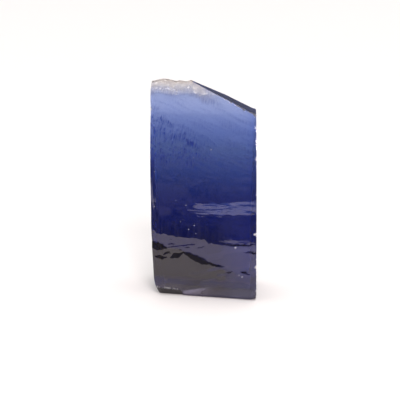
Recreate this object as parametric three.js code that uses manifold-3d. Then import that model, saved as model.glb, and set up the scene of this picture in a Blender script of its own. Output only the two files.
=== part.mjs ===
// A block of blue sapphire rough: one transparent crystal, thick at the foot and thin at the ridge.
// Millimetres, +Z up. The glossy broken face looks towards -Y, the sawn back is the plane on +Y,
// and the sawn foot lies on z = 0, with the origin under the middle of the block.

import * as THREE from 'three';
import { mergeVertices } from 'three/addons/utils/BufferGeometryUtils.js';
import Module from 'manifold-3d';

// Driving dimensions
const HEIGHT = 40;
const FOOT_THICKNESS = 12;
const RIDGE_THICKNESS = 0.35;
const WEDGE_POWER = 2.3;
const BACK_Y = FOOT_THICKNESS / 2;
const FRONT_Y = -FOOT_THICKNESS / 2;

// Under the ridge the face swells a little before it breaks down steeply to the thin edge.
const SWELL = { start: 34, middle: 37.3, end: 39.9, thickness: 0.75 };

// The left side leans out towards the ridge, and its foot corner is knocked off.
const LEFT_FOOT_X = -8.5;
const LEFT_RIDGE_X = -11.5;
const LEFT_LEAN_POWER = 1.12;
const CORNER_HEIGHT = 2.4;
const CORNER_WIDTH = 0.8;

// The right side is one straight saw cut, which runs back and to the left.
const RIGHT_FOOT_X = 11.45;
const RIGHT_SKEW = THREE.MathUtils.degToRad(12);

// The top, as x and z: a hackly ridge on the left, then the sawn slope down to the right side.
const TOP_LINE = [
  [-12, 39.3], [-9.6, 39.97], [-8.3, 39.93], [-7, 39.65], [-6.1, 39.82], [-4.7, 39.65],
  [-3.9, HEIGHT], [3, 37.4], [8, 35.15], [9, 34.85], [13, 33],
];
const CHIPPED_EDGE = { from: 6.3, to: 8.8, height: 0.5 };

// Two bevels run down the left edge of the broken face, widest at the crease and gone near the ridge.
// Their width and depth are given by height, and the outer one takes two thirds of the depth.
const BEVEL_LINE = [[0, 0.7], [9, 1.0], [13, 1.6], [15.5, 1.55], [17.5, 1.1], [27, 0.9], [34, 0.4], [HEIGHT, 0.1]];
const BEVEL_DEPTH = [[0, 0.15], [12.5, 0.25], [16.5, 0.5], [27, 0.3], [34, 0.1], [HEIGHT, 0.03]];
const OUTER_BEVEL_SHARE = 2 / 3;

// The foot of the broken face is undercut, most on the left and at the right corner. The lines give the
// height and the depth of the undercut at each x.
const UNDERCUT_LINE = [[-12, 1.6], [-7.5, 1.5], [-3.3, 1.25], [-2.5, 0.55], [10.2, 0.55], [11.4, 1], [13, 1.2]];
const UNDERCUT_DEPTH = [[-12, 0.85], [-3.3, 0.85], [-2.5, 0.6], [10.2, 0.6], [11.4, 1.8], [13, 2]];

// A sharp wavy crease crosses the face low down. Below it the face stands nearly upright.
const CREASE_LINE = [[-12, 13.2], [-8.3, 12.2], [1.2, 11.5], [1.9, 10.8], [4.2, 10.95], [12, 11.8]];
const CREASE_DEPTH = 0.16;
const CREASE_FADE = 2.5;

// Halfway up on the right a ledge stands upright, between a lower and an upper line.
const LEDGE_BOTTOM = [[-12, 16.1], [2.2, 16.05], [6.2, 16.45], [12, 17.9]];
const LEDGE_TOP = [[-12, 17.9], [5.4, 18.5], [9.3, 19.5], [12, 19.6]];
const LEDGE_START_X = -1.5;
const LEDGE_GROWTH = 0.2;
const LEDGE_FADE = 4;

// Shallow scars in the lower part of the face, each from one x, z point to another.
const SCARS = [
  { from: [-9.2, 10.2], to: [-6.9, 9.3], width: 0.9, depth: 0.16 },
  { from: [-7.4, 7.9], to: [-5.9, 8.6], width: 0.6, depth: 0.12 },
  { from: [-5.5, 7.6], to: [-3.7, 8.2], width: 0.7, depth: 0.14 },
  { from: [-1.6, 8.2], to: [1.6, 7.0], width: 0.8, depth: 0.22 },
  { from: [1.6, 6.7], to: [4.7, 6.3], width: 0.6, depth: 0.2 },
  { from: [8.2, 5.6], to: [9.6, 5.1], width: 0.6, depth: 0.12 },
];

// The net of points on the broken face: columns across, and rows between the lines that cross it
const BEVEL_COLUMNS = 2;
const FACE_COLUMNS = 38;
const ROWS = { undercut: 3, lower: 22, middle: 9, ledge: 5, upper: 36 };
const CUT_MARGIN = 1;
const EDGE_TOLERANCE = 1e-6;

// Height or width at one place on a line given by a few points
function along(points, place) {
  let i = 1;
  while (i < points.length - 1 && points[i][0] < place) i += 1;
  const [[x0, z0], [x1, z1]] = [points[i - 1], points[i]];
  const share = THREE.MathUtils.clamp((place - x0) / (x1 - x0), 0, 1);
  return THREE.MathUtils.lerp(z0, z1, share);
}

function leftSide(z) {
  const share = THREE.MathUtils.clamp(z / HEIGHT, 0, 1);
  const lean = (LEFT_RIDGE_X - LEFT_FOOT_X) * share ** LEFT_LEAN_POWER;
  const corner = CORNER_WIDTH * Math.max(0, 1 - z / CORNER_HEIGHT) ** 1.5;
  return LEFT_FOOT_X + lean + corner;
}

// 1 inside a scar's middle line, falling smoothly to 0 at its width
function scarShape(scar, x, z) {
  const start = new THREE.Vector2(...scar.from);
  const run = new THREE.Vector2(...scar.to).sub(start);
  const point = new THREE.Vector2(x, z).sub(start);
  const share = THREE.MathUtils.clamp(point.dot(run) / run.lengthSq(), 0, 1);
  const distance = point.distanceTo(run.multiplyScalar(share));
  return Math.max(0, 1 - (distance / scar.width) ** 2) ** 2;
}

// The wedge with its swelling, crease, ledge and scars
function wedgeThickness(x, z) {
  const share = THREE.MathUtils.clamp(z / HEIGHT, 0, 1);
  let thickness = RIDGE_THICKNESS + (FOOT_THICKNESS - RIDGE_THICKNESS) * (1 - share ** WEDGE_POWER);
  const risingSwell = THREE.MathUtils.smoothstep(z, SWELL.start, SWELL.middle);
  const fallingSwell = THREE.MathUtils.smoothstep(z, SWELL.middle, SWELL.end);
  thickness += SWELL.thickness * risingSwell * (1 - fallingSwell);

  const aboveCrease = z - along(CREASE_LINE, x);
  thickness -= CREASE_DEPTH * Math.max(0, 1 - Math.abs(aboveCrease - CREASE_FADE / 2) / (CREASE_FADE / 2));

  const ledgeBottom = along(LEDGE_BOTTOM, x);
  const ledgeTop = along(LEDGE_TOP, x);
  const rise = THREE.MathUtils.clamp(z - ledgeBottom, 0, ledgeTop - ledgeBottom);
  const fade = THREE.MathUtils.clamp(1 - (z - ledgeTop) / LEDGE_FADE, 0, 1);
  const start = THREE.MathUtils.smoothstep(x, LEDGE_START_X, LEDGE_START_X + 2);
  thickness += LEDGE_GROWTH * rise * fade * start;

  for (const scar of SCARS) thickness -= scar.depth * scarShape(scar, x, z);
  return thickness;
}

// What is broken off the edges of the wedge: the chipped slope, the bevels and the undercut
function faceThickness(x, z) {
  let thickness = wedgeThickness(x, z);

  const belowTop = Math.max(0, along(TOP_LINE, x) - z);
  if (x > CHIPPED_EDGE.from && x < CHIPPED_EDGE.to) {
    thickness -= Math.max(0, CHIPPED_EDGE.height - belowTop);
  }

  const outwards = 2 - 2 * (x - leftSide(z)) / along(BEVEL_LINE, z);
  const inner = THREE.MathUtils.clamp(outwards, 0, 1);
  const outer = THREE.MathUtils.clamp(outwards - 1, 0, 1);
  thickness -= along(BEVEL_DEPTH, z) * THREE.MathUtils.lerp(inner, outer, OUTER_BEVEL_SHARE);

  const undercut = along(UNDERCUT_LINE, x);
  thickness -= along(UNDERCUT_DEPTH, x) * Math.max(0, undercut - z) / undercut;
  return Math.max(thickness, RIDGE_THICKNESS / 2);
}

// Where column u of the net stands at height z: the bevels first, then the face beyond the right cut
function columnX(u, z) {
  const left = leftSide(z);
  const bevel = along(BEVEL_LINE, z);
  const bevelShare = BEVEL_COLUMNS / (BEVEL_COLUMNS + FACE_COLUMNS);
  if (u <= bevelShare) return left + bevel * u / bevelShare;
  const share = (u - bevelShare) / (1 - bevelShare);
  return THREE.MathUtils.lerp(left + bevel, RIGHT_FOOT_X + CUT_MARGIN, share);
}

// How high row v of the net runs at x, so that rows follow the undercut, crease and ledge lines
function rowZ(v, x) {
  const top = Math.min(HEIGHT, along(TOP_LINE, x)) + CUT_MARGIN;
  const lines = [0, along(UNDERCUT_LINE, x), along(CREASE_LINE, x), along(LEDGE_BOTTOM, x), along(LEDGE_TOP, x), top];
  const counts = Object.values(ROWS);
  let row = v * counts.reduce((sum, count) => sum + count);
  let band = 0;
  while (band < counts.length - 1 && row > counts[band]) {
    row -= counts[band];
    band += 1;
  }
  return THREE.MathUtils.lerp(lines[band], lines[band + 1], row / counts[band]);
}

// A block whose front follows the broken face and whose other sides are flat. The flat back needs
// only its rim, so its inner points all meet in one middle point.
function brokenBlock() {
  const rowCount = Object.values(ROWS).reduce((sum, count) => sum + count);
  const geometry = new THREE.BoxGeometry(1, 1, 1, BEVEL_COLUMNS + FACE_COLUMNS, 1, rowCount);
  const place = geometry.getAttribute('position');
  const isInside = (share) => share > EDGE_TOLERANCE && share < 1 - EDGE_TOLERANCE;
  for (let i = 0; i < place.count; i += 1) {
    const u = place.getX(i) + 0.5;
    const v = place.getZ(i) + 0.5;
    const onBack = place.getY(i) > 0;
    const roughZ = rowZ(v, columnX(u, v * HEIGHT));
    const x = columnX(u, roughZ);
    const z = rowZ(v, x);
    if (onBack && isInside(u) && isInside(v)) place.setXYZ(i, 0, BACK_Y, HEIGHT / 2);
    else place.setXYZ(i, x, onBack ? BACK_Y : BACK_Y - faceThickness(x, z), z);
  }
  return geometry;
}

// Everything above the top line, as a bar that runs through the block from front to back
function topCut() {
  const outline = new THREE.Shape(TOP_LINE.map(([x, z]) => new THREE.Vector2(x, z)));
  outline.lineTo(TOP_LINE.at(-1)[0], HEIGHT + 4 * CUT_MARGIN);
  outline.lineTo(TOP_LINE[0][0], HEIGHT + 4 * CUT_MARGIN);
  const depth = FOOT_THICKNESS + 2 * CUT_MARGIN;
  const bar = new THREE.ExtrudeGeometry(outline, { depth, bevelEnabled: false });
  return bar.rotateX(Math.PI / 2).translate(0, depth / 2, 0);
}

// Everything to the right of the straight side
function rightCut() {
  const width = 10;
  const bar = new THREE.BoxGeometry(width, 4 * FOOT_THICKNESS, 3 * HEIGHT).translate(width / 2, 0, 0);
  return bar.rotateZ(RIGHT_SKEW).translate(RIGHT_FOOT_X, FRONT_Y, HEIGHT / 2);
}

function toSolid(wasm, geometry) {
  const bare = geometry.clone();
  bare.deleteAttribute('normal');
  bare.deleteAttribute('uv');
  const merged = mergeVertices(bare, 1e-4);
  const corners = merged.getIndex().array;
  const triangles = [];
  for (let i = 0; i < corners.length; i += 3) {
    const triangle = corners.slice(i, i + 3);
    if (new Set(triangle).size === 3) triangles.push(...triangle);
  }
  const mesh = new wasm.Mesh({
    numProp: 3,
    vertProperties: new Float32Array(merged.getAttribute('position').array),
    triVerts: new Uint32Array(triangles),
  });
  return new wasm.Manifold(mesh);
}

function toGeometry(solid) {
  const { vertProperties, triVerts } = solid.getMesh();
  const geometry = new THREE.BufferGeometry();
  geometry.setAttribute('position', new THREE.BufferAttribute(vertProperties, 3));
  geometry.setIndex(new THREE.BufferAttribute(triVerts, 1));
  geometry.computeVertexNormals();
  return geometry;
}

async function makeSapphire() {
  const wasm = await Module();
  wasm.setup();
  const stone = toSolid(wasm, brokenBlock())
    .subtract(toSolid(wasm, topCut()))
    .subtract(toSolid(wasm, rightCut()));
  const material = new THREE.MeshStandardMaterial({ color: 0x2c3680, roughness: 0.08, metalness: 0 });
  const mesh = new THREE.Mesh(toGeometry(stone), material);
  mesh.name = 'sapphire';
  return mesh;
}

const rough = new THREE.Group();
rough.add(await makeSapphire());

export default rough;
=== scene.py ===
# %% [markdown]
# # A block of blue sapphire rough
# The real thing is one transparent crystal, about 40 mm tall: a wedge with a glossy broken front, three
# sawn sides, a sawn slope at the top right and a thin hackly ridge at the top left. It stands on its
# thick foot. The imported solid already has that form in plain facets, so this lesson makes a finer skin
# of the same stone around the same numbers, and then gives it the optics of sapphire.

import math

import bpy
import mathutils
import numpy as np
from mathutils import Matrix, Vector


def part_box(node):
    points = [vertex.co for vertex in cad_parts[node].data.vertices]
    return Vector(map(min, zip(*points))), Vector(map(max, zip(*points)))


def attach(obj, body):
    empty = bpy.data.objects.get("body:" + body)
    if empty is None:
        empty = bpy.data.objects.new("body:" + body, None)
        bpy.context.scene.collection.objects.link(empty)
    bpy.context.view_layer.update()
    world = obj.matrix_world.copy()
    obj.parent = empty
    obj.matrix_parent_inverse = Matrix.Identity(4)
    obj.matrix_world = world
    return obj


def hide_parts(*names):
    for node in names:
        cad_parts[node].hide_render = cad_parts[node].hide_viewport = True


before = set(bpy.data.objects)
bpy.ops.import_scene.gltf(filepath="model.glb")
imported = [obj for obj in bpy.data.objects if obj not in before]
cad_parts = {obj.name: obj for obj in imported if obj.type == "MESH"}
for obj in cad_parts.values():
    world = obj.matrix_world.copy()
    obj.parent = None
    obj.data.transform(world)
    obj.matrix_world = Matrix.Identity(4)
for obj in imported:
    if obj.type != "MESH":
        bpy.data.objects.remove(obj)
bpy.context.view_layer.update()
print("packed nodes:", sorted(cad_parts))

# %% [markdown]
# ## Sizes
# Every length of the stone is in millimetres until its mesh is made, because a stone of this size reads
# badly in metres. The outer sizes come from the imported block's own box, so the skin can't drift away from
# the solid. Only the right edge starts a hair further out, because chips along it take a little off.

# %% Sizes from the block's box
MM = 0.001
RIGHT_EDGE_ALLOWANCE = 0.03

low, high = [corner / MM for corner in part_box("sapphire")]
HEIGHT = high.z
BACK_Y = high.y
FRONT_Y = low.y
FOOT_THICKNESS = BACK_Y - FRONT_Y
RIGHT_FOOT_X = high.x + RIGHT_EDGE_ALLOWANCE
print(f"the block is {high.x - low.x:.1f} wide, {FOOT_THICKNESS:.1f} thick and {HEIGHT:.1f} mm tall")

# %% [markdown]
# ## The outline
# Four lines bound the stone seen from the front: a flat foot, a straight sawn right side that runs back
# and to the left, a left side that leans out towards the ridge, and a top that is level on the left and
# then sawn off in a slope. The two sides are short formulas. The top and most of the later lines are kept
# as a few points with straight stretches between them, because neither a saw cut nor the edge of a break
# is a smooth curve.

# %% Outline of the stone
LEFT_FOOT_X = -8.5
LEFT_RIDGE_X = -11.5
LEFT_LEAN_POWER = 1.12
CORNER_HEIGHT = 3.4
CORNER_WIDTH = 0.75
CORNER_POWER = 1.5
RIGHT_SKEW = math.radians(12)
SLOPE_START_X = -3.9
TOP_LINE = [(-12, 39.3), (-9.6, 39.97), (-8.3, 39.93), (-7, 39.65), (-6.1, 39.82), (-4.7, 39.65),
            (SLOPE_START_X, 40), (3, 37.4), (8, 35.15), (9, 34.85), (13, 33)]


def along(points, place):
    """The height of a line of points at each place."""
    places, heights = np.transpose(points)
    return np.interp(place, places, heights)


def left_side(z):
    share = np.clip(z / HEIGHT, 0, 1)
    lean = (LEFT_RIDGE_X - LEFT_FOOT_X) * share**LEFT_LEAN_POWER
    corner = CORNER_WIDTH * np.maximum(0, 1 - z / CORNER_HEIGHT) ** CORNER_POWER
    return LEFT_FOOT_X + lean + corner


def right_side(y):
    return RIGHT_FOOT_X - (y - FRONT_Y) * math.tan(RIGHT_SKEW)


print(f"the ridge starts at x = {left_side(HEIGHT):.1f} mm")

# %% [markdown]
# ## Random hills
# Broken crystal is never even, so most features below are roughened with smooth random hills. Blender has
# noise of its own, but its functions take one point at a time, and the face has thousands of them. Here a
# seeded table of random heights is blended softly between neighbours for whole arrays at once, and each
# run of this script gives the same stone. Where x and z are multiplied by a number, it says how many
# hills there are to a millimetre that way.

# %% Random hills from a seed
TABLE_SIZE = 256


def hills(x, y, seed):
    """Smooth random heights from -1 to 1, with about one hill to a unit."""
    table = np.random.default_rng(seed).uniform(-1, 1, (TABLE_SIZE, TABLE_SIZE))
    column, row = np.floor(x).astype(int), np.floor(y).astype(int)
    across, up = x - column, y - row
    across = across**3 * (across * (across * 6 - 15) + 10)
    up = up**3 * (up * (up * 6 - 15) + 10)

    def height(right, above):
        return table[(column + right) % TABLE_SIZE, (row + above) % TABLE_SIZE]

    lower = height(0, 0) * (1 - across) + height(1, 0) * across
    upper = height(0, 1) * (1 - across) + height(1, 1) * across
    return lower * (1 - up) + upper * up


def smooth_step(low_edge, high_edge, value):
    share = np.clip((value - low_edge) / (high_edge - low_edge), 0, 1)
    return share * share * (3 - 2 * share)


# %% [markdown]
# ## The broken face
# The front is one long fracture. Each point of it is kept as the thickness of the stone there, measured
# from the flat sawn back. The thickness falls slowly near the foot and fast near the ridge, and that
# gives most of the photo's fade from near black to pale blue, because thin sapphire holds back less
# light. Under the ridge the face swells a little before it breaks down steeply to a thin edge. The
# swelling is only half as thick close to the sawn slope.

# %% The wedge
RIDGE_THICKNESS = 0.35
WEDGE_POWER = 2.3
SWELL_ZONE = (34, 37.5, 37.5, 40.5)
SWELL_THICKNESS = 0.8
SWELL_WOBBLE = 0.4
SLOPE_REACH = 6
SWELL_LOSS_NEAR_SLOPE = 0.5


def window(zone, value):
    """1 inside a zone and 0 outside it. Its four marks are start, full, easing and end."""
    start, full, easing, end = zone
    return smooth_step(start, full, value) * (1 - smooth_step(easing, end, value))


def wedge(x, z):
    share = np.clip(z / HEIGHT, 0, 1)
    plain = RIDGE_THICKNESS + (FOOT_THICKNESS - RIDGE_THICKNESS) * (1 - share**WEDGE_POWER)
    swell = window(SWELL_ZONE, z + SWELL_WOBBLE * hills(0.3 * x, 0 * x, seed=33))
    near_slope = smooth_step(-1, SLOPE_REACH, x) * (1 - smooth_step(0, SLOPE_REACH, along(TOP_LINE, x) - z))
    return plain + SWELL_THICKNESS * swell * (1 - SWELL_LOSS_NEAR_SLOPE * near_slope)


print(f"the plain wedge is {wedge(np.array(0.0), np.array(20.0)):.1f} mm thick halfway up")

# %% [markdown]
# ## Crease and ledge
# Glossy crystal mirrors the pale table only where it stands nearly upright. A sharp wavy crease low on
# the face parts the upright foot, which looks grey, from the leaning face above it, which looks navy.
# Halfway up on the right a ledge stands upright again and shows as a pale band. Both are small changes
# of slope, so they are added to the thickness as a low cusp and a low step. Their lines are ragged: each
# gets two sets of waves, given as height, waves to a millimetre and seed.

# %% Crease and ledge
CREASE_LINE = [(-12, 13.6), (-9.1, 12.9), (-8.2, 12.2), (-5.7, 11.85), (-1.6, 11.55), (1.3, 11.5),
               (2, 10.7), (3.3, 10.65), (4.3, 10.7), (6, 10.87), (11, 11.35), (12, 11.4)]
CREASE_WAVES = [(0.12, 1.6, 1), (0.1, 4.2, 18)]
CREASE_HEIGHT = 0.1
CREASE_FADE_BELOW = 5.7
CREASE_FADE_ABOVE = 3.2
LEDGE_BOTTOM = [(-12, 16.3), (2.3, 16.2), (6.3, 16.3), (9.1, 16.6), (11.1, 17.3), (12, 17.7)]
LEDGE_BOTTOM_WAVES = [(0.2, 0.9, 2), (0.06, 3.5, 19)]
LEDGE_TOP = [(-12, 18.1), (-0.3, 18.4), (5.5, 18.8), (9.4, 19.5), (12, 19.6)]
LEDGE_TOP_WAVES = [(0.2, 0.8, 20), (0.06, 3.1, 21)]
LEDGE_FROM = (-4, 2.5)
LEDGE_GROWTH = 0.15
LEDGE_FADE = 5
FINGERS_FROM = (-6, 1)
FINGERS_BELOW_LEDGE = 0.3
FINGERS_ABOVE_LEDGE = 0.5
FINGER_HEIGHT = 0.0495
UPPER_FINGERS_FROM = (1.5, 4.5)
UPPER_FINGERS_ZONE = (0, 0.4, 1.3, 2.2)
UPPER_FINGER_HEIGHT = 0.05


def ragged(line, x, waves):
    return along(line, x) + sum(height * hills(often * x, 0 * x, seed) for height, often, seed in waves)


def crease_line(x):
    return ragged(CREASE_LINE, x, CREASE_WAVES)


def ledge_bottom(x):
    return ragged(LEDGE_BOTTOM, x, LEDGE_BOTTOM_WAVES)


def ledge_top(x):
    return ragged(LEDGE_TOP, x, LEDGE_TOP_WAVES)


def crease(x, z):
    above = z - crease_line(x)
    fade = np.where(above > 0, CREASE_FADE_ABOVE, CREASE_FADE_BELOW)
    return CREASE_HEIGHT * np.maximum(0, 1 - np.abs(above) / fade) ** 2


def ledge(x, z):
    """An upright step with level fingers on it, and fainter fingers just above it on the right."""
    bottom, top = ledge_bottom(x), ledge_top(x)
    rise = np.clip(z - bottom, 0, top - bottom)
    fade = np.clip(1 - (z - top) / LEDGE_FADE, 0, 1) ** 2
    fingers = hills(0.3 * x, 2.2 * z, seed=22) + 0.7 * hills(0.5 * x, 4.3 * z, seed=3)
    finger_zone = (bottom - FINGERS_BELOW_LEDGE, bottom, top, top + FINGERS_ABOVE_LEDGE)
    fingers = fingers * smooth_step(*FINGERS_FROM, x) * window(finger_zone, z)
    upper = hills(0.4 * x, 2.4 * z, seed=23) * smooth_step(*UPPER_FINGERS_FROM, x)
    upper = upper * window(UPPER_FINGERS_ZONE, z - top)
    step = LEDGE_GROWTH * rise * fade * smooth_step(*LEDGE_FROM, x)
    return step + FINGER_HEIGHT * fingers + UPPER_FINGER_HEIGHT * upper


print(f"the ledge is {ledge_top(np.array(8.0)) - ledge_bottom(np.array(8.0)):.1f} mm tall on the right")

# %% [markdown]
# ## Scars
# In the grey foot the fracture jumped from one level to another along short lines. Each jump is a narrow
# strip that leans back far enough to lose the pale table, so it shows as a dark stroke. A groove would
# have a second side that leans forward, so a scar is an S-shaped step across its own line instead: steep
# in the middle, and easing off slowly on both sides. It is kept as a few places along its line, each with
# x, z and the width of the strip there.

# %% Scars in the foot of the face
SCARS = [
    [(-9.6, 10.1, 1.0), (-8.2, 9.7, 1.6), (-7.0, 9.5, 1.1), (-5.9, 9.2, 0)],
    [(-7.3, 7.9, 0), (-6.6, 8.2, 0.6), (-6.1, 8.5, 0.4), (-5.4, 8.8, 0)],
    [(-5.5, 7.6, 0), (-4.9, 7.8, 0.9), (-3.7, 8.1, 1.0), (-2.8, 8.6, 0)],
    [(-3.2, 8.75, 0), (-2.1, 8.5, 0.7), (-0.9, 7.95, 1.3), (0.8, 7.3, 1.25), (2.1, 6.85, 0.6),
     (3.4, 6.5, 0.55), (4.3, 6.4, 0.6), (5.6, 6.25, 0)],
    [(-8.7, 7.6, 0), (-7.9, 7.45, 0.6), (-6.9, 7.5, 0.65), (-6.2, 7.6, 0.25), (-5.9, 7.7, 0)],
    [(-6.3, 9.9, 0), (-5.2, 10.1, 0.2), (-4.0, 10.2, 0)],
    [(-4.4, 9.1, 0), (-3.6, 9.25, 0.25), (-2.6, 9.1, 0)],
    [(-3.0, 9.6, 0), (-2.0, 9.85, 0.25), (-1.0, 9.9, 0)],
    [(5.3, 5.15, 0), (6.2, 5.35, 0.4), (7.1, 5.6, 0)],
    [(8.1, 5.7, 0), (9.3, 5.45, 0.6), (10.5, 5.1, 0)],
    [(8.4, 9.5, 0), (10, 9.5, 0.34), (12, 9.5, 0.25)],
    [(3.6, 10.6, 0), (6.5, 10.75, 0.45), (9.5, 10.95, 0.3), (11.6, 11.1, 0.1)],
]
SCAR_STEEPNESS = 0.25
SCAR_EASE = 1.6
SCAR_WOBBLE = 0.14
SCAR_FINE_WOBBLE = 0.06
SCAR_RIM = (0.7, 1.2)
THIN_STROKE = (0.02, 0.1)


def stroke_place(x, z, points):
    """How far above the middle of a stroke a place is, and the stroke's half width there."""
    places, middles, widths = np.transpose(points)
    wobble = SCAR_WOBBLE * hills(1.3 * x, 1.3 * z, seed=4)
    wobble = wobble + SCAR_FINE_WOBBLE * hills(3.3 * x, 3.3 * z, seed=24)
    return z + wobble - np.interp(x, places, middles), np.interp(x, places, widths) / 2


def scar(x, z, points):
    """The step across a stroke. It slopes the same all along, so it is lower where the stroke is narrow."""
    above, half_width = stroke_place(x, z, points)
    ease = np.maximum(0, 1 - np.maximum(0, np.abs(above) - half_width) / SCAR_EASE) ** 2
    return -SCAR_STEEPNESS * np.clip(above, -half_width, half_width) * ease


def inside_scars(x, z):
    """1 inside a stroke and 0 away from all of them."""
    inside = 0 * x
    for points in SCARS:
        above, half_width = stroke_place(x, z, points)
        share = 1 - smooth_step(*SCAR_RIM, np.abs(above) / np.maximum(half_width, THIN_STROKE[0]))
        inside = np.maximum(inside, share * smooth_step(*THIN_STROKE, half_width))
    return inside


def scars(x, z):
    return sum(scar(x, z, points) for points in SCARS)


print(f"the face has {len(SCARS)} scars")

# %% [markdown]
# ## Ripples and hackles
# Higher up the fracture ran faster and left fine feathering: thin streaks that fall to the right, short
# upright hackles on the left, and a crumbly crust along the ridge, where the stone is thinnest. All of
# them could be left to the material, but they are broad enough for the mesh to hold. Each is a share from
# 0 to 1, because the same strokes shape the relief here and the shade of the surface later.

# %% Streaks, hackles and the crumbly ridge
FALL = 0.35
STROKE_EDGE = (0.1, 0.65)
STREAK_ZONE = (20, 27, 36, 38)
HACKLES_FROM = (23.5, 27)
HACKLE_TOP_AT_MIDDLE = 29
HACKLE_TOP_FALL = 0.6
HACKLE_TOP_EDGE = (-1.5, 1.5)
HACKLE_RIGHT_EDGE = (-3, 2.5)
BLOT_EDGE = (-0.5, 0.5)
CRUMBLY_DEPTH = 2.6
CRUMBLY_FADE = 2
CRUMBLY_RIGHT_EDGE = (-2.5, 3.5)


def strokes(x, z, seed):
    """Soft strokes, 1 in the middle of a stroke and 0 between them: they are the tops of random hills."""
    return smooth_step(*STROKE_EDGE, hills(x, z, seed))


def streaks(x, z):
    """Long strokes that fall to the right, from 0 to 1."""
    across = z + FALL * x + 0.3 * hills(0.25 * x, 0.25 * z, seed=29)
    lengthwise = x - FALL * z
    coarse = strokes(0.22 * lengthwise, 1.7 * across, seed=5)
    fine = strokes(0.4 * lengthwise, 3.3 * across, seed=6)
    return np.maximum(coarse, 0.8 * fine) * window(STREAK_ZONE, z)


def hackly_patch(x, z):
    """1 in a patch on the left, below a line that falls to the right, and 0 outside it."""
    above = z + HACKLE_TOP_FALL * x - HACKLE_TOP_AT_MIDDLE
    patch = smooth_step(*HACKLES_FROM, z) * (1 - smooth_step(*HACKLE_TOP_EDGE, above))
    return patch * (1 - smooth_step(*HACKLE_RIGHT_EDGE, x))


def hackles(x, z):
    """Short steep strokes and blots, from 0 to 1, in the hackly patch."""
    blots = 0.7 * hills(0.7 * x, 0.9 * z, seed=30) + 0.6 * hills(2.9 * x, 2.2 * z, seed=34)
    return smooth_step(*BLOT_EDGE, blots) * hackly_patch(x, z)


def below_ridge(x, z):
    """How far below the top line a place is, with a ragged measure."""
    return along(TOP_LINE, x) - z + 0.4 * hills(1.1 * x, 1.3 * z, seed=8)


def crumbled(x, z):
    """How crumbly the stone is, from 0 to 1: only along the thin ridge."""
    near_ridge = np.clip((CRUMBLY_DEPTH - below_ridge(x, z)) / CRUMBLY_FADE, 0, 1)
    return near_ridge * (1 - smooth_step(*CRUMBLY_RIGHT_EDGE, x))


print(f"the crumbly crust reaches about {CRUMBLY_DEPTH} mm down from the ridge")

# %% Relief on the face
STREAK_DEPTH = 0.02
HACKLE_DEPTH = 0.03
CRUST_HEIGHT = 0.035
GRAIN_DEPTH = 0.035
GRAIN_ZONE = (8, 9, 10.8, 11.6)
GRAIN_RIGHT_EDGE = (0, 3)
BROAD_WAVES = 0.03
LEVEL_WAVES = 0.012
LEVEL_WAVES_FROM = (12, 20)
FINE_WAVES = 0.006
FINE_WAVES_TOP = (11, 12)


def crust(x, z):
    lumps = hills(1.5 * x, 1.9 * z, seed=9) + 0.6 * hills(3.6 * x, 4.1 * z, seed=10)
    return CRUST_HEIGHT * lumps * crumbled(x, z)


def wavy_grain(x, z):
    """A few long lines on the left, between the scars and the crease."""
    lines = strokes(0.5 * x + 0.3 * z, 2.6 * z - 0.5 * x, seed=31)
    return GRAIN_DEPTH * lines * window(GRAIN_ZONE, z) * (1 - smooth_step(*GRAIN_RIGHT_EDGE, x))


def undulation(x, z):
    """Broad waves everywhere, level ones above the crease and fine ones below it."""
    level = LEVEL_WAVES * hills(0.25 * x, 1.1 * z, seed=12) * smooth_step(*LEVEL_WAVES_FROM, z)
    fine = FINE_WAVES * hills(0.7 * x, 3.4 * z, seed=25) * (1 - smooth_step(*FINE_WAVES_TOP, z))
    return BROAD_WAVES * hills(0.22 * x, 0.3 * z, seed=11) + level + fine


def relief(x, z):
    pits = STREAK_DEPTH * streaks(x, z) + HACKLE_DEPTH * hackles(x, z) + wavy_grain(x, z)
    return crust(x, z) + undulation(x, z) - pits


print(f"the deepest strokes in the face are {max(STREAK_DEPTH, HACKLE_DEPTH, GRAIN_DEPTH)} mm deep")

# %% [markdown]
# ## Bevels, undercut and chips
# The face's rim is worn. Two narrow bevels run down its left edge, the foot is undercut on the left and
# at the right corner and only blunted between them, and the sawn edges have lost small chips. A Bevel
# modifier would cut every edge alike, and these differ from place to place. All of them take thickness
# off close to an edge, so each is a slope times the distance left to that edge.

# %% The rim of the face
BEVEL_LINE = [(0, 0.7), (9, 1.0), (13, 1.6), (16, 1.6), (19, 1.1), (27, 0.9), (34, 0.4), (40, 0.1)]
BEVEL_DEPTH = [(0, 0.15), (12.5, 0.22), (18, 0.6), (24, 0.5), (30, 0.25), (36, 0.08), (40, 0.03)]
OUTER_BEVEL_SHARE = 2 / 3
UNDERCUT_LINE = [(-12, 1.6), (-7.5, 1.5), (-3.3, 1.25), (-2.5, 0.55), (10.2, 0.55), (11.4, 1), (12, 1.1)]
UNDERCUT_DEPTH = [(-12, 0.85), (-3.3, 0.85), (-2.5, 0.6), (10.2, 0.6), (11.4, 1.8), (12, 2)]


def bevels(x, z):
    outwards = 2 - 2 * (x - left_side(z)) / along(BEVEL_LINE, z)
    inner, outer = np.clip(outwards, 0, 1), np.clip(outwards - 1, 0, 1)
    return along(BEVEL_DEPTH, z) * (inner + (outer - inner) * OUTER_BEVEL_SHARE)


def undercut(x, z):
    line = along(UNDERCUT_LINE, x)
    return along(UNDERCUT_DEPTH, x) * np.maximum(0, line - z) / line


# %% Chips along the sawn edges
CHIPS_ON_RIGHT = [(32.4, 0.25), (27, 0.25), (13, 0.3), (6.7, 0.35), (29.5, 0.12), (20.5, 0.15), (2, 0.2)]
CHIPS_ON_SLOPE = [(4.6, 0.2), (7.2, 0.3), (9.4, 0.4)]
RIGHT_WEAR = 0.07
SLOPE_WEAR = 0.2
SLOPE_CHIPS_FROM = (0, 1.5)
CHIP_LENGTH = 1.3


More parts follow.
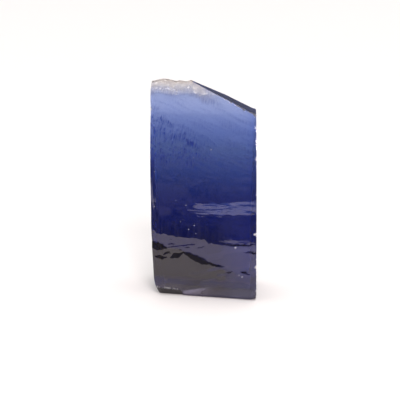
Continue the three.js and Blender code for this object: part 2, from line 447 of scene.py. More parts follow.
def chip_size(place, chips, wear, seed):
    """How far chips reach in from an edge at each place along it, with fine wear between them."""
    size = wear * np.maximum(0, hills(2.3 * place, 0 * place, seed) + 0.3)
    for middle, reach in chips:
        size = size + reach * np.maximum(0, 1 - ((place - middle) / (CHIP_LENGTH * reach)) ** 2)
    return size


def right_chips(x, z, thickness):
    from_edge = right_side(BACK_Y - thickness) - x
    return np.maximum(0, chip_size(z, CHIPS_ON_RIGHT, RIGHT_WEAR, seed=13) - from_edge)


def slope_chips(x, z):
    below_top = along(TOP_LINE, x) - z
    reach = chip_size(x, CHIPS_ON_SLOPE, SLOPE_WEAR, seed=14)
    return np.maximum(0, reach - below_top) * smooth_step(*SLOPE_CHIPS_FROM, x)


# %% Thickness of the stone at any point of its face
def face_thickness(x, z):
    thickness = wedge(x, z) + crease(x, z) + ledge(x, z) + scars(x, z)
    thickness = thickness + relief(x, z) - bevels(x, z) - undercut(x, z)
    thickness = thickness - right_chips(x, z, thickness) - slope_chips(x, z)
    return np.clip(thickness, RIDGE_THICKNESS / 2, FOOT_THICKNESS)


print(f"at the crease the stone is {face_thickness(np.array(0.0), np.array(11.5)):.1f} mm thick")

# %% [markdown]
# ## The net of points
# A net of rows and columns covers the face. The rows follow the undercut, the crease and the ledge, so
# that each sharp line falls on a row of points and stays sharp. A second net like it lies on the flat
# sawn back and gives the rim there, and walls join the two rims.

# %% Points on the face
COLUMNS = 170
BEVEL_COLUMNS = 14
ROWS_BETWEEN_LINES = [10, 96, 42, 22, 170]
ROW_ROUNDS = 6
RIDGE_TEETH = 0.07
TEETH_FADE = 0.8


def lines_across(x):
    on_left = 1 - smooth_step(SLOPE_START_X - TEETH_FADE, SLOPE_START_X, x)
    top = np.minimum(HEIGHT, along(TOP_LINE, x) + RIDGE_TEETH * hills(2.6 * x, 0 * x, seed=17) * on_left)
    lines = [0 * x, along(UNDERCUT_LINE, x), crease_line(x), ledge_bottom(x), ledge_top(x), top]
    return np.array(lines)


def net(right_edge):
    """Where each point of the net stands: x and z, by row and column."""
    row_marks = np.concatenate([[0], np.cumsum(ROWS_BETWEEN_LINES)])
    rows = np.arange(row_marks[-1] + 1)
    bands = np.minimum(np.searchsorted(row_marks, rows, side="right") - 1, len(ROWS_BETWEEN_LINES) - 1)
    band_share = (rows - row_marks[bands]) / np.array(ROWS_BETWEEN_LINES)[bands]
    u = np.arange(COLUMNS + 1) / COLUMNS
    bevel_share = BEVEL_COLUMNS / COLUMNS
    z = np.outer(rows / rows[-1] * HEIGHT, np.ones_like(u))
    for _ in range(ROW_ROUNDS):
        left, bevel = left_side(z), along(BEVEL_LINE, z)
        share = (u - bevel_share) / (1 - bevel_share)
        beyond = left + bevel + (right_edge(z[:, -1:]) - left - bevel) * share
        x = np.where(u <= bevel_share, left + bevel * u / bevel_share, beyond)
        lines = lines_across(x)
        lower = lines[bands, rows]
        upper = lines[bands + 1, rows]
        z = lower + (upper - lower) * band_share[:, None]
    return x, z


def front_right_edge(z):
    x = np.full_like(z, RIGHT_FOOT_X)
    for _ in range(ROW_ROUNDS):
        x = right_side(BACK_Y - face_thickness(x, z))
    return x


face_x, face_z = net(front_right_edge)
face_y = BACK_Y - face_thickness(face_x, face_z)
back_x, back_z = net(lambda z: np.full_like(z, right_side(BACK_Y)))
print(f"the face has {face_x.shape[0]} rows and {face_x.shape[1]} columns")

# %% [markdown]
# ## Walls and back
# The walls are strips between the rim of the face and the rim of the back. The left wall is broken, so
# it gets long shallow waves that die out at both of its edges. The back is one flat saw cut: its rim is
# filled with triangles by a constrained Delaunay net, which needs few points inside.

# %% Walls between the two rims
WALL_STEPS = 14
WALL_SPACING_POWER = 1.3
LEFT_WAVES = 0.22
WAVE_FADE = 3


def rim(grid):
    """The points around a net, from the lower left, against the clock as seen from the front."""
    return np.concatenate([grid[0, :-1], grid[:-1, -1], grid[-1, :0:-1], grid[:0:-1, 0]])


def net_points(x, y, z):
    return np.stack([x, y, z], axis=-1)


face_points = net_points(face_x, face_y, face_z)
back_points = net_points(back_x, np.full_like(back_x, BACK_Y), back_z)
front_rim, back_rim = rim(face_points), rim(back_points)
row_count, column_count = face_x.shape
side_of_rim = np.repeat(["foot", "right", "top", "left"], [column_count - 1, row_count - 1] * 2)


def wall_layer(share):
    layer = front_rim + (back_rim - front_rim) * share
    on_left = side_of_rim == "left"
    y, z = layer[:, 1], layer[:, 2]
    waves = 0.5 + 0.5 * hills(0.16 * z, 0.35 * y + 3, seed=15) + 0.15 * hills(0.6 * z, 0.8 * y, seed=16)
    fade = np.sin(math.pi * share) * np.clip(z / WAVE_FADE, 0, 1) * np.clip((HEIGHT - z) / WAVE_FADE, 0, 1)
    layer[:, 0] += LEFT_WAVES * np.maximum(0, waves) * fade * on_left
    return layer


wall_shares = (np.arange(1, WALL_STEPS + 1) / WALL_STEPS) ** WALL_SPACING_POWER
wall_layers = [wall_layer(share) for share in wall_shares]
print(f"each wall has {WALL_STEPS} steps from the face to the back")

# %% The flat back
BACK_SPACING = 1.2
BACK_REACH = 12
BACK_INSET = 0.6
MERGE_DISTANCE = 1e-6

rim_count = len(back_rim)
grid_x, grid_z = np.meshgrid(
    np.arange(-BACK_REACH, BACK_REACH, BACK_SPACING), np.arange(0, HEIGHT, BACK_SPACING)
)
inside = (grid_x > left_side(grid_z) + BACK_INSET) & (grid_x < right_side(BACK_Y) - BACK_INSET)
inside &= (grid_z > BACK_INSET) & (grid_z < along(TOP_LINE, grid_x) - BACK_INSET)
inner = np.stack([grid_x[inside], grid_z[inside]], axis=-1)
flat_points = [mathutils.Vector(point) for point in np.vstack([back_rim[:, [0, 2]], inner])]
rim_edges = [(i, (i + 1) % rim_count) for i in range(rim_count)]
filled = mathutils.geometry.delaunay_2d_cdt(flat_points, rim_edges, [], 1, MERGE_DISTANCE)
filled_faces, sources = filled[2], filled[3]
print(f"the back has {len(filled_faces)} triangles")

# %% [markdown]
# ## One closed mesh
# Face, walls and back share the points along their rims, so the stone is one watertight mesh. That
# matters here: light is bent and coloured on its way through a solid only if the skin has no gap.

# %% Faces of the whole stone
SHARP_ANGLE = math.radians(40)


def quads(first, second, third, fourth):
    return np.stack([first, second, third, fourth], axis=-1).reshape(-1, 4)


face_ids = np.arange(row_count * column_count).reshape(row_count, column_count)
front_faces = quads(face_ids[:-1, :-1], face_ids[:-1, 1:], face_ids[1:, 1:], face_ids[1:, :-1])

wall_ids = [rim(face_ids)]
for step in range(WALL_STEPS):
    wall_ids.append(face_ids.size + step * rim_count + np.arange(rim_count))
wall_faces = []
for near, far in zip(wall_ids[:-1], wall_ids[1:]):
    wall_faces.append(quads(near, far, np.roll(far, -1), np.roll(near, -1)))
wall_faces = np.concatenate(wall_faces)

inner_start = face_ids.size + WALL_STEPS * rim_count
back_ids = []
for source in sources:
    point = source[0]
    back_ids.append(wall_ids[-1][point] if point < rim_count else inner_start + point - rim_count)
back_faces = [[int(back_ids[corner]) for corner in reversed(face)] for face in filled_faces]

inner_points = net_points(inner[:, 0], np.full(len(inner), BACK_Y), inner[:, 1])
points = np.vstack([face_points.reshape(-1, 3), *wall_layers, inner_points])
faces = front_faces.tolist() + wall_faces.tolist() + back_faces

mesh = bpy.data.meshes.new("sapphire_skin")
mesh.from_pydata((points * MM).tolist(), [], faces)
mesh.validate()
mesh.shade_smooth()
mesh.set_sharp_from_angle(angle=SHARP_ANGLE)
stone = bpy.data.objects.new("sapphire_skin", mesh)
bpy.context.scene.collection.objects.link(stone)
mesh.calc_loop_triangles()
print(f"the skin has {len(mesh.loop_triangles)} triangles")

# %% [markdown]
# ## What each part of the skin is like
# The finish follows how each side was made: glossy where the crystal broke, matt where the saw went. The
# sawn right side is the exception, because it is almost glossy. Tiny crushed spots are white, because
# crushed crystal scatters all colours. Both are kept on the mesh itself, as numbers for its faces and
# points, because they belong to the sides of this stone.

# %% How matt each face is
FINISH = {"foot": 0.4, "right": 0.05, "top": 0.15, "left": 0.03}
FROST = {"foot": 0.5, "right": 0.03, "top": 0.15, "left": 0}
BACK_FINISH = 0.3
FACE_FINISH = 0.03


def save_on_mesh(name, domain, values):
    attribute = mesh.attributes.new(name, "FLOAT", domain)
    attribute.data.foreach_set("value", values.astype(np.float32))


wall_finish = np.tile([FINISH[side] for side in side_of_rim], WALL_STEPS)
front_finish = np.full(len(front_faces), FACE_FINISH)
back_finish = np.full(len(back_faces), BACK_FINISH)
save_on_mesh("finish", "FACE", np.concatenate([front_finish, wall_finish, back_finish]))
print(f"finishes run from {FACE_FINISH} to {max(FINISH.values())}")

# %% Crushed places on the face
SPECKS = [(1.6, 28.1, 0.1), (-1.7, 26.5, 0.09), (-9.2, 23.6, 0.13), (-8.9, 17.1, 0.13), (-4.7, 18.5, 0.1),
          (-2.7, 17.7, 0.11), (-3.6, 14.6, 0.1), (-0.9, 14, 0.11), (-2, 13.2, 0.13), (-0.5, 12.5, 0.11),
          (7.3, 10.3, 0.2), (8.7, 4.6, 0.16), (8.1, 4.9, 0.1), (-10.95, 34.7, 0.22), (10.9, 13, 0.25),
          (11.2, 6.6, 0.2), (-6.2, 37.7, 0.1), (-5.8, 37.2, 0.08), (-2.7, 38.4, 0.1), (-1.5, 37.6, 0.1),
          (-0.3, 36.9, 0.08)]
CRUSHED_RIM = 0.6
CRUSHED_RIM_EDGE = (0.08, 0.2)
CRUSHED_RIM_END = (-3.6, -3.2)
STRETCH_EDGE = (-0.3, 0.2)
CRUSHED_CHIPS = 0.8
CHIP_RIM = (0.02, 0.1)


def on_face(values):
    return np.concatenate([values.ravel(), np.zeros(len(points) - face_ids.size)])


def specks(x, z):
    """1 in the middle of each tiny crushed speck. A speck is kept as x, z and reach."""
    shares = [1 - ((x - x0) ** 2 + (z - z0) ** 2) / reach**2 for x0, z0, reach in SPECKS]
    return np.clip(np.max(shares, axis=0), 0, 1) ** 0.5


def crushed_rim(x, z):
    """Crushed stretches along the top of the undercut, on the left."""
    near_line = 1 - smooth_step(*CRUSHED_RIM_EDGE, np.abs(z - along(UNDERCUT_LINE, x)))
    stretches = smooth_step(*STRETCH_EDGE, hills(4 * x, 2 * z, seed=28))
    return CRUSHED_RIM * near_line * stretches * (1 - smooth_step(*CRUSHED_RIM_END, x))


chipped = CRUSHED_CHIPS * smooth_step(*CHIP_RIM, right_chips(face_x, face_z, BACK_Y - face_y))
crushed = np.max([specks(face_x, face_z), crushed_rim(face_x, face_z), chipped], axis=0)
save_on_mesh("crushed", "POINT", on_face(crushed))
print(f"{int((crushed > 0.5).sum())} points of the face are crushed")

# %% The crumbly ridge
RIDGE_END_X = SLOPE_START_X + 0.5

top_wall = np.tile(side_of_rim == "top", WALL_STEPS)
on_ridge = np.concatenate([np.zeros(face_ids.size), top_wall, np.zeros(len(inner))])
on_ridge = on_ridge * (points[:, 0] < RIDGE_END_X)
crumbly = np.maximum(on_face(crumbled(face_x, face_z)), on_ridge)
save_on_mesh("crumbly", "POINT", crumbly)
print(f"{int((crumbly > 0.5).sum())} points are crumbly")

# %% [markdown]
# ## Painted shade and frost
# Three more numbers say how the colour changes over the stone. Strokes in the face, and a band just under
# the crust, get painted shade: their colour is darkened for the shade they lie in. The lower half of the
# face gets painted shade too, and the foot, the insides of the scars and the strip along the bevels get the
# most: what is behind them can hardly be seen, so painted shade takes their colour near black and they only
# mirror. The sawn foot, right side and slope, and parts of the face below the crease, have frost, the bloom
# of a surface that is rough too finely to see.

# %% Painted shade in strokes
STREAK_SHADE = 0.25
HACKLE_SHADE = 0.6
UNDER_CRUST_SHADE = 0.48
UNDER_CRUST_ZONE = (0.5, 1.3, 1.8, 2.7)
UNDER_CRUST_RIGHT_EDGE = (0, 4)

under_crust = window(UNDER_CRUST_ZONE, below_ridge(face_x, face_z))
under_crust = under_crust * (1 - smooth_step(*UNDER_CRUST_RIGHT_EDGE, face_x))
# Painted shade: streaks, hackles and a band under the crust are darkened for the shade they lie in.
lined = STREAK_SHADE * streaks(face_x, face_z) + HACKLE_SHADE * hackles(face_x, face_z)
lined = lined + UNDER_CRUST_SHADE * under_crust
save_on_mesh("lined", "POINT", on_face(lined))
print(f"{int((lined > 0.3).sum())} points of the face are lined")

# %% Painted shade zones
BELOW_SCARS = [(-12, 9.3), (-9, 9.4), (-3.5, 9.2), (-1.5, 8.2), (1.6, 6.8), (4.8, 6), (12, 4.5)]
BELOW_SCARS_EDGE = (-0.6, 0.4)
FOOT_RIGHT_EDGE = (2, 7)
FOOT_BOTTOM_EDGE = (0.5, 3.5)
FOOT_BOTTOM_TILT = 0.2
FOOT_BOTTOM_MIDDLE = 6
FOOT_LOSS_ON_RIGHT = 0.55
FOOT_SHADE = 0.45
LOWER_HALF_EDGE = (17, 35)
LOWER_HALF_SHADE = 0.5
LOWER_LEFT_TOP = (11.5, 17)
LOWER_LEFT_SIDE = (3, 9)
LOWER_LEFT_SHADE = 0.33
LESS_SHADE_ON_LEDGE_FROM = (-2, 3)
LESS_SHADE_ON_LEDGE = 0.4
BEVEL_STRIP_ZONE = (12.8, 13.8, 22, 31)
BEVEL_STRIP_SHADE = 0.75


def foot_below_scars(x, z):
    """1 in the grey foot below the scars, and less on the right and along the bottom edge there."""
    below = 1 - smooth_step(*BELOW_SCARS_EDGE, z - along(BELOW_SCARS, x))
    below = below * (1 - FOOT_LOSS_ON_RIGHT * smooth_step(*FOOT_RIGHT_EDGE, x))
    return below * smooth_step(*FOOT_BOTTOM_EDGE, z + FOOT_BOTTOM_TILT * (FOOT_BOTTOM_MIDDLE - x))


def less_shade_on_ledge(x, z):
    """How much of the painted shade the pale ledge loses."""
    on_ledge = (z > ledge_bottom(x)) * (z < ledge_top(x))
    return LESS_SHADE_ON_LEDGE * smooth_step(*LESS_SHADE_ON_LEDGE_FROM, x) * on_ledge


def bevel_strip(x, z):
    """1 on the middle stretch of the bevels and 0 elsewhere."""
    return window(BEVEL_STRIP_ZONE, z) * (x < left_side(z) + along(BEVEL_LINE, z))


# Painted shade: what passes through is darkened over the lower half and lower left of the face, and most of
# all in the foot below the scars, inside the scars and along the bevel strip.
lower_half = (1 - smooth_step(*LOWER_HALF_EDGE, face_z)) * (1 - less_shade_on_ledge(face_x, face_z))
lower_left = (1 - smooth_step(*LOWER_LEFT_TOP, face_z)) * (1 - smooth_step(*LOWER_LEFT_SIDE, face_x))
deep = LOWER_HALF_SHADE * lower_half + LOWER_LEFT_SHADE * lower_left
deep = deep + FOOT_SHADE * foot_below_scars(face_x, face_z)
deep = np.max([deep, inside_scars(face_x, face_z), BEVEL_STRIP_SHADE * bevel_strip(face_x, face_z)], axis=0)
save_on_mesh("deep", "POINT", on_face(deep))
print(f"the colour is deepest over {int((deep > 0.8).sum())} points")

# %% Frost on the sides and low on the face
LILAC_LINE = [(-4.2, 0.6), (-2.7, 1), (3.4, 2.5), (6, 2), (12, 2)]
LILAC_LINE_EDGE = (-0.2, 0.3)
LILAC_FROM = (-3.3, -2.9)
LILAC_FADE = (-1, 4)
LILAC_LOSS = 0.95
LILAC_FROST = 0.22
HAZE_TOP = (10.5, 11)
HAZE_FROM = (-1.5, 2)
HAZE_LEAN = 0.7
HAZE_MIDDLE = 5
HAZE_FROST = 0.06
UNDERCUT_END_X = -3
LOW_FROST_TOP = (1.5, 4)
LOW_FROST = 0.07
LOW_LEFT_SIDE = (-4, 0)
LOW_LEFT_FROST = 0.11
LOW_RIGHT_FROST_TOP = (0.5, 4)
LOW_RIGHT_FROM = (0, 3)
LOW_RIGHT_FROST = 0.08


def lilac_patch(x, z):
    """1 in a low patch on the bottom edge, just to the right of the left undercut."""
    below = 1 - smooth_step(*LILAC_LINE_EDGE, z - along(LILAC_LINE, x))
    return below * smooth_step(*LILAC_FROM, x) * (1 - LILAC_LOSS * smooth_step(*LILAC_FADE, x))


def haze(x, z):
    """Soft clouds on the right, between the crease and the bottom edge."""
    clouds = strokes(0.25 * x + 0.15 * z, 1.4 * z - 0.35 * x, seed=35)
    right_of_lean = smooth_step(*HAZE_FROM, x - HAZE_LEAN * (z - HAZE_MIDDLE))
    return clouds * (1 - smooth_step(*HAZE_TOP, z)) * right_of_lean


def low_frost(x, z):
    """More frost towards the bottom edge, but none in the undercut on the left."""
    in_undercut = (z < along(UNDERCUT_LINE, x)) & (x < UNDERCUT_END_X)
    left = LOW_FROST + LOW_LEFT_FROST * (1 - smooth_step(*LOW_LEFT_SIDE, x))
    left = left * (1 - smooth_step(*LOW_FROST_TOP, z))
    right = LOW_RIGHT_FROST * (1 - smooth_step(*LOW_RIGHT_FROST_TOP, z)) * smooth_step(*LOW_RIGHT_FROM, x)
    return left * (1 - in_undercut) + right


face_frost = LILAC_FROST * lilac_patch(face_x, face_z) + HAZE_FROST * haze(face_x, face_z)
face_frost = face_frost + low_frost(face_x, face_z)
side_frost = np.tile([FROST[side] for side in side_of_rim], WALL_STEPS)
frost = np.concatenate([face_frost.ravel(), side_frost, np.zeros(len(inner))]) * (1 - on_ridge)
save_on_mesh("frost", "POINT", frost)
print(f"the frostiest place is {frost.max():.1f} frosted")

# %% [markdown]
# ## Writing shaders as sums
# A material is a graph of nodes. Wrapping a socket in a small class lets the graph be written the way
# the maths reads: a sum or a product with a link in it makes the Math node, and so does 1 minus a link.
# Every node comes from one method, which takes its type, its settings and its inputs.

# %% Links and nodes
class Link:
    """An output socket that can stand in a sum."""

    def __init__(self, graph, socket):
        self.graph = graph
        self.socket = socket

    def __add__(self, other):
        return self.graph.math("ADD", self, other)

    def __rsub__(self, other):
        return self.graph.math("SUBTRACT", other, self)

    def __mul__(self, other):
        return self.graph.math("MULTIPLY", self, other)

    __radd__ = __add__
    __rmul__ = __mul__


class Graph:
    """The nodes of one material or world."""

    def __init__(self, tree):
        self.tree = tree
        tree.nodes.clear()

    def node(self, kind, settings=None, inputs=None, output=0):
        made = self.tree.nodes.new(kind)
        for name, value in (settings or {}).items():
            if name == "stops":
                set_stops(made.color_ramp, value)
            else:
                setattr(made, name, value)
        for name, value in (inputs or {}).items():
            if isinstance(value, Link):
                self.tree.links.new(value.socket, made.inputs[name])
            else:
                made.inputs[name].default_value = value
        return Link(self, made.outputs[output]) if made.outputs else made

    def math(self, operation, first, second=0.0):
        return self.node("ShaderNodeMath", {"operation": operation}, {0: first, 1: second})

    def mix(self, share, first, second):
        inputs = {"Factor": share, "A": first, "B": second}
        return self.node("ShaderNodeMix", {"data_type": "FLOAT"}, inputs)

    def mix_colour(self, share, first, second):
        inputs = {0: share, 6: first, 7: second}
        return self.node("ShaderNodeMix", {"data_type": "RGBA"}, inputs, output=2)

    def step(self, low_edge, high_edge, value):
        settings = {"interpolation_type": "SMOOTHSTEP"}
        inputs = {"Value": value, "From Min": low_edge, "From Max": high_edge}
        return self.node("ShaderNodeMapRange", settings, inputs)


def set_stops(ramp, stops):
    for place, colour in stops[2:]:
        ramp.elements.new(place)
    for element, (place, colour) in zip(ramp.elements, stops):
        element.position = place
        element.color = colour


# %% [markdown]
# ## Sapphire
# The clear body is one Principled shader with full transmission and the refractive index of sapphire.
# A blue surface would tint thin and thick places alike, so most of the blue is inside: a Volume Absorption
# takes away red and green first, so a thin edge is pale and a thick foot is nearly black. The surface
# decides between gloss and matt, and where the mesh's numbers say so it darkens what passes through with
# painted shade, turns white or takes on frost. Where two strengths of frost are given, the first is for
# glossy surfaces and the second for matt sawn ones.

# %% The sapphire material
SAPPHIRE_IOR = 1.77
ABSORPTION_DENSITY = 358
ABSORPTION_COLOUR = (0, 0.196, 0.7, 1)
CLEAR = (1, 1, 1, 1)
# Painted shade: these tints darken what passes through, down to near black, where the mesh marks shade.
LIGHT_SHADE_BLUE = (0.74, 0.75, 0.5, 1)
SHADE_BLUE = (0.05, 0.065, 0.16, 1)
DARKEST_SHADE = (0.0005, 0.0005, 0.001, 1)
LINE_SHADE_BLUE = (0.08, 0.12, 0.34, 1)
CRUST = (0.77, 0.64, 0.5, 1)
CRUSHED_WHITE = (0.9, 0.88, 0.88, 1)
LILAC = (0.42, 0.39, 0.53, 1)
SLATE = (0.25, 0.4, 1, 1)
ROSY = (0.92, 0.85, 0.88, 1)
SAWN_FROM = 0.1

material = bpy.data.materials.new("sapphire")
material.use_nodes = True
graph = Graph(material.node_tree)
place = graph.node("ShaderNodeTexCoord", output="Object")
place = graph.node("ShaderNodeVectorMath", {"operation": "SCALE"}, {0: place, "Scale": 1 / MM})
finish = graph.node("ShaderNodeAttribute", {"attribute_name": "finish"}, output="Fac")
crushed_share = graph.node("ShaderNodeAttribute", {"attribute_name": "crushed"}, output="Fac")
crumbly_share = graph.node("ShaderNodeAttribute", {"attribute_name": "crumbly"}, output="Fac")
line_shade_share = graph.node("ShaderNodeAttribute", {"attribute_name": "lined"}, output="Fac")
painted_shade_share = graph.node("ShaderNodeAttribute", {"attribute_name": "deep"}, output="Fac")
frost_share = graph.node("ShaderNodeAttribute", {"attribute_name": "frost"}, output="Fac")
sawn_share = graph.math("GREATER_THAN", finish, SAWN_FROM)
print(f"sapphire bends light with an index of {SAPPHIRE_IOR}")

# %% Surface relief too fine for the mesh
STRIATION_HEIGHT = 0.005
CRUMB_HEIGHT = 0.045
SAW_LINE_HEIGHT = 0.01
GRIT_HEIGHT = 0.004


def noise(scale, detail):
    """Smooth noise with a given number of hills to a millimetre in each direction."""
    stretched = graph.node("ShaderNodeVectorMath", {"operation": "MULTIPLY"}, {0: place, 1: scale})
    return graph.node("ShaderNodeTexNoise", {}, {"Vector": stretched, "Scale": 1.0, "Detail": detail})


striations = noise((0.5, 0.5, 5.0), detail=4.0)
saw_lines = noise((0.3, 0.3, 6.0), detail=3.0)
grit = noise((7.0, 7.0, 7.0), detail=3.0)
crumbs = noise((5.0, 5.0, 5.0), detail=4.0)
height = STRIATION_HEIGHT * striations * (1 - sawn_share) + CRUMB_HEIGHT * crumbs * crumbly_share
height = height + (SAW_LINE_HEIGHT * saw_lines + GRIT_HEIGHT * grit) * sawn_share
bump = graph.node("ShaderNodeBump", {}, {"Strength": 1.0, "Distance": MM, "Height": height})
print(f"the tallest fine relief is {CRUMB_HEIGHT} mm")

# %% Colour and finish
FLECK_EDGE = (0.58, 0.69)
FIBRE_EDGE = (0.38, 0.68)
FIBRE_STRENGTH = (0.4, 1.5)
MOTTLE_EDGE = (0.4, 0.7)
MOTTLE_SHARE = 0.1
MOTTLES_FROM = (15, 25)
WHITE_IN_CRUST = 0.12
WHITE_IN_FLECKS = 0.6
CRUMBLY_ROUGHNESS = 0.3
CRUSHED_ROUGHNESS = 0.6
FROST_TINT = (1.7, 10.0)
FROST_METAL = (2.5, 1.0)

flecks = graph.step(*FLECK_EDGE, noise((2.4, 2.4, 2.4), detail=2.0))
fibres = graph.step(*FIBRE_EDGE, noise((3.5, 0.0, 0.7), detail=4.0))
mottles = graph.step(*MOTTLE_EDGE, noise((2.0, 0.0, 2.6), detail=3.0))
height_up = graph.node("ShaderNodeSeparateXYZ", {}, {0: place}, output="Z")
mottles = mottles * graph.step(*MOTTLES_FROM, height_up)
# Fibres vary the painted shade in the strokes, and random mottles higher up add to it.
line_shade_share = line_shade_share * graph.mix(fibres, *FIBRE_STRENGTH) + MOTTLE_SHARE * mottles
white_crust = crumbly_share * (WHITE_IN_CRUST * crumbly_share + WHITE_IN_FLECKS * flecks)
crushed_share = graph.math("MAXIMUM", crushed_share, white_crust)
# Painted shade: the ramp darkens what passes through as the painted shade grows, and the strokes take a
# darker blue painted shade.
painted_shade_stops = [(0, CLEAR), (0.15, LIGHT_SHADE_BLUE), (0.5, SHADE_BLUE), (1, DARKEST_SHADE)]
colour = graph.node("ShaderNodeValToRGB", {"stops": painted_shade_stops}, {0: painted_shade_share})
colour = graph.mix_colour(line_shade_share, colour, LINE_SHADE_BLUE)
colour = graph.mix_colour(crumbly_share, colour, CRUST)
frost_colour = graph.mix_colour(sawn_share, LILAC, SLATE)
colour = graph.mix_colour(frost_share * graph.mix(sawn_share, *FROST_TINT), colour, frost_colour)
colour = graph.mix_colour(crushed_share, colour, CRUSHED_WHITE)
roughness = finish + CRUMBLY_ROUGHNESS * crumbly_share + frost_share
roughness = graph.mix(crushed_share, roughness, CRUSHED_ROUGHNESS)
metallic = graph.math("MAXIMUM", crushed_share, frost_share * graph.mix(sawn_share, *FROST_METAL))
print("colour, roughness and metallic share follow the numbers on the mesh")

# %% The clear body
surface = graph.node("ShaderNodeBsdfPrincipled", {}, {
    "Base Color": colour,
    "Metallic": metallic,
    "Roughness": roughness,
    "IOR": SAPPHIRE_IOR,
    "Specular Tint": ROSY,
    "Transmission Weight": 1.0,
    "Normal": bump,
})
absorption = {"Color": ABSORPTION_COLOUR, "Density": ABSORPTION_DENSITY}
body = graph.node("ShaderNodeVolumeAbsorption", {}, absorption)
graph.node("ShaderNodeOutputMaterial", {}, {"Surface": surface, "Volume": body})
mesh.materials.append(material)

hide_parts("sapphire")
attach(stone, "root")
print("the skin stands for the packed node")

# %% [markdown]
# ## Table, light and camera
# By what the stone mirrors, the photo was taken on a white table under a wide soft light, with the room
# dark behind the camera. Both matter: the upright foot of the face mirrors the table and looks grey, and
# the leaning face above it mirrors the dark room and looks navy.

# %% Table
TABLE_HALF = 1.4
TABLE_WHITE = (0.87, 0.845, 0.825, 1)
TABLE_ROUGHNESS = 0.9

table_mesh = bpy.data.meshes.new("table")
table_corners = [(-TABLE_HALF, -TABLE_HALF, 0), (TABLE_HALF, -TABLE_HALF, 0),
                 (TABLE_HALF, TABLE_HALF, 0), (-TABLE_HALF, TABLE_HALF, 0)]
table_mesh.from_pydata(table_corners, [], [(0, 1, 2, 3)])
table = bpy.data.objects.new("table", table_mesh)
bpy.context.scene.collection.objects.link(table)
table_material = bpy.data.materials.new("white table")
table_material.use_nodes = True
table_graph = Graph(table_material.node_tree)
table_look = {"Base Color": TABLE_WHITE, "Roughness": TABLE_ROUGHNESS}
table_surface = table_graph.node("ShaderNodeBsdfPrincipled", {}, table_look)
table_graph.node("ShaderNodeOutputMaterial", {}, {"Surface": table_surface})
table_mesh.materials.append(table_material)
print(f"the table is {2 * TABLE_HALF:.1f} m wide")

# %% Room
OVERHEAD = 2.25
OVERHEAD_EDGE = (math.sin(math.radians(44)), math.sin(math.radians(58)))
OVERHEAD_SET_BACK = 0.18
RING_BY_HEIGHT = [(0, 0.1), (0.06, 0.16), (0.16, 0.22), (0.28, 0.24), (0.4, 0.17), (0.5, 0.26), (0.6, 0.1)]
RING_COLOUR = (1, 0.93, 0.97, 1)
WHITE = (1, 1, 1, 1)
PATCHES_PER_UNIT = (20, 20, 40)
PATCH_SHIFT = (6.1, 1.9, 4.5)
PATCH_EDGE = (0.35, 0.65)
DARKEST_PATCH = 0.1
LIGHTEST_PATCH = 1.9

world = bpy.data.worlds.new("room")
bpy.context.scene.world = world
world.use_nodes = True
room = Graph(world.node_tree)
direction = room.node("ShaderNodeTexCoord", output="Generated")
upward = room.node("ShaderNodeSeparateXYZ", {}, {0: direction}, output="Z")
backward = room.node("ShaderNodeSeparateXYZ", {}, {0: direction}, output="Y")
shifted = room.node("ShaderNodeVectorMath", {"operation": "MULTIPLY_ADD"},
                    {0: direction, 1: PATCHES_PER_UNIT, 2: PATCH_SHIFT})
patches = room.node("ShaderNodeTexNoise", {}, {"Vector": shifted, "Scale": 1.0, "Detail": 1.0})
ring_stops = [(place, (value, value, value, 1)) for place, value in RING_BY_HEIGHT]
ring = room.node("ShaderNodeValToRGB", {"stops": ring_stops}, {0: upward})
ring = ring * room.mix(room.step(*PATCH_EDGE, patches), DARKEST_PATCH, LIGHTEST_PATCH)
overhead_share = room.step(*OVERHEAD_EDGE, upward + OVERHEAD_SET_BACK * backward)
seen_by_camera = room.node("ShaderNodeLightPath", output="Is Camera Ray")
brightness = room.mix(seen_by_camera, room.mix(overhead_share, ring, OVERHEAD), 1.0)
white_share = room.math("MAXIMUM", overhead_share, seen_by_camera)
room_colour = room.mix_colour(white_share, RING_COLOUR, WHITE)
background = room.node("ShaderNodeBackground", {}, {"Color": room_colour, "Strength": brightness})
room.node("ShaderNodeOutputWorld", {}, {"Surface": background})
print("the room is bright overhead and dark all round")

# %% Soft key light
KEY_AZIMUTH = math.radians(21)
KEY_ELEVATION = math.radians(43)
KEY_DISTANCE = 0.9
KEY_SIZE = 0.34
KEY_POWER = 4.2
KEY_COLOUR = (1, 0.92, 0.94)

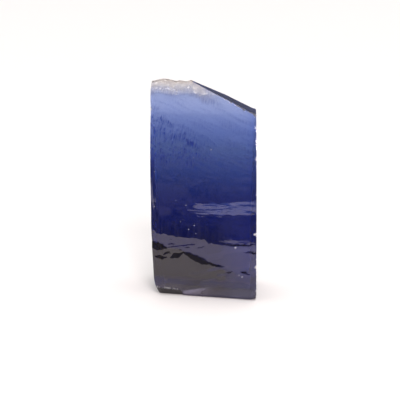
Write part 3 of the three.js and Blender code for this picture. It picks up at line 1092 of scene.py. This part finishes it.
key_data = bpy.data.lights.new("soft key", "AREA")
key_data.shape = "DISK"
key_data.size = KEY_SIZE
key_data.energy = KEY_POWER
key_data.color = KEY_COLOUR
key = bpy.data.objects.new("soft key", key_data)
bpy.context.scene.collection.objects.link(key)
key.visible_camera = False
key_direction = mathutils.Vector((
    math.sin(KEY_AZIMUTH) * math.cos(KEY_ELEVATION),
    -math.cos(KEY_AZIMUTH) * math.cos(KEY_ELEVATION),
    math.sin(KEY_ELEVATION),
))
key.location = key_direction * KEY_DISTANCE
key.rotation_euler = key_direction.to_track_quat("Z", "Y").to_euler()
bpy.context.scene.view_settings.view_transform = "Standard"
print(f"the key light stands {KEY_DISTANCE:.1f} m away")

# %% [markdown]
# ## Camera
# The stone is seen from a little to its right and a little above, from far away with a long lens, so
# that its near and far parts are drawn at nearly the same scale.

# %% Camera
CAMERA_AZIMUTH = math.radians(12)
CAMERA_ELEVATION = math.radians(16)
CAMERA_DISTANCE = 420 * MM
LENS = 196
SENSOR_WIDTH = 36
CLIP_START = 0.01
CLIP_END = 10
AIM_RIGHT = -0.79 * MM
AIM_UP = -2.15 * MM

turn, tilt = CAMERA_AZIMUTH, CAMERA_ELEVATION
right = mathutils.Vector((math.cos(turn), math.sin(turn), 0))
up = mathutils.Vector((-math.sin(turn) * math.sin(tilt), math.cos(turn) * math.sin(tilt), math.cos(tilt)))
back = right.cross(up)
middle = mathutils.Vector((0, 0, HEIGHT / 2 * MM))
aim = middle + right * AIM_RIGHT + up * AIM_UP
camera_data = bpy.data.cameras.new("camera")
camera_data.lens = LENS
camera_data.sensor_width = SENSOR_WIDTH
camera_data.clip_start = CLIP_START
camera_data.clip_end = CLIP_END
camera = bpy.data.objects.new("camera", camera_data)
bpy.context.scene.collection.objects.link(camera)
camera.matrix_world = mathutils.Matrix.Translation(aim + back * CAMERA_DISTANCE) @ mathutils.Matrix(
    (right, up, back)
).transposed().to_4x4()
bpy.context.scene.camera = camera
print(f"the camera stands {CAMERA_DISTANCE / MM:.0f} mm from the stone")
